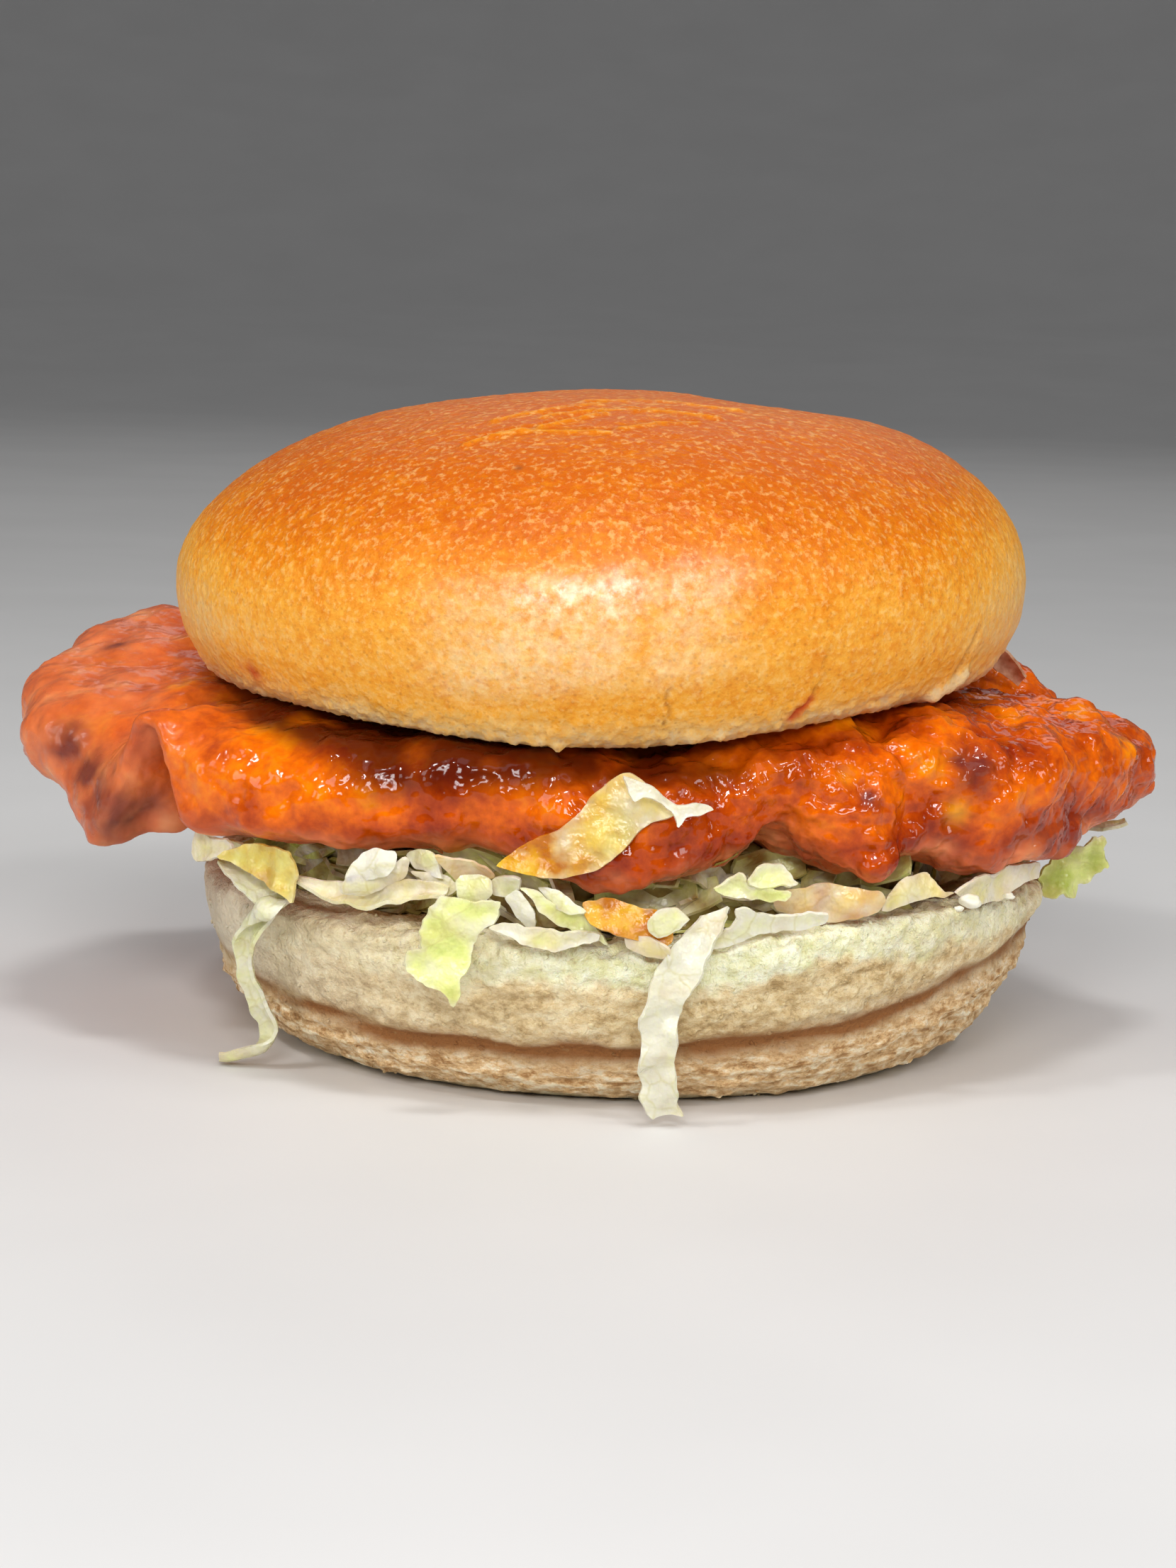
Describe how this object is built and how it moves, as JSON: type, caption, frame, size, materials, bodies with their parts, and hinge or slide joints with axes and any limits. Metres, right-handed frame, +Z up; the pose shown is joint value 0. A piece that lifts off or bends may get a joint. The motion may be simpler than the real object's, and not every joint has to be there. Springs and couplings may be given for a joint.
{
  "type": "chicken burger",
  "caption": "Round soft bun holding one long sauced battered chicken fillet over shredded lettuce, with shreds hanging out to the table.",
  "frame": {"origin": "bottom centre of the box round the whole burger, on the plane it rests on", "axes": "+X to the right along the long fillet, +Y away from the shown front, +Z up"},
  "size_m": [0.157, 0.1204, 0.0884],
  "materials": {
    "bun_crumb": "matte, baked dough",
    "bun_crust": "satin, glazed crust",
    "sauced_batter": "wet, glossy sauce over batter",
    "lettuce": "crisp, slightly glossy leaf",
    "onion": "translucent sliver stained by sauce"
  },
  "bodies": {
    "root": {"heel_bun": "bun_crumb", "crown_bun": "bun_crust", "chicken_fillet": "sauced_batter", "lettuce_bed": "lettuce", "shred_left": "lettuce", "shred_front": "lettuce", "leaf_front_left": "lettuce", "leaf_on_sauce": "lettuce", "leaf_right": "lettuce", "shred_right": "lettuce", "leaf_front_right": "lettuce", "curl_left": "lettuce", "onion_sliver": "onion"}
  },
  "joints": []
}
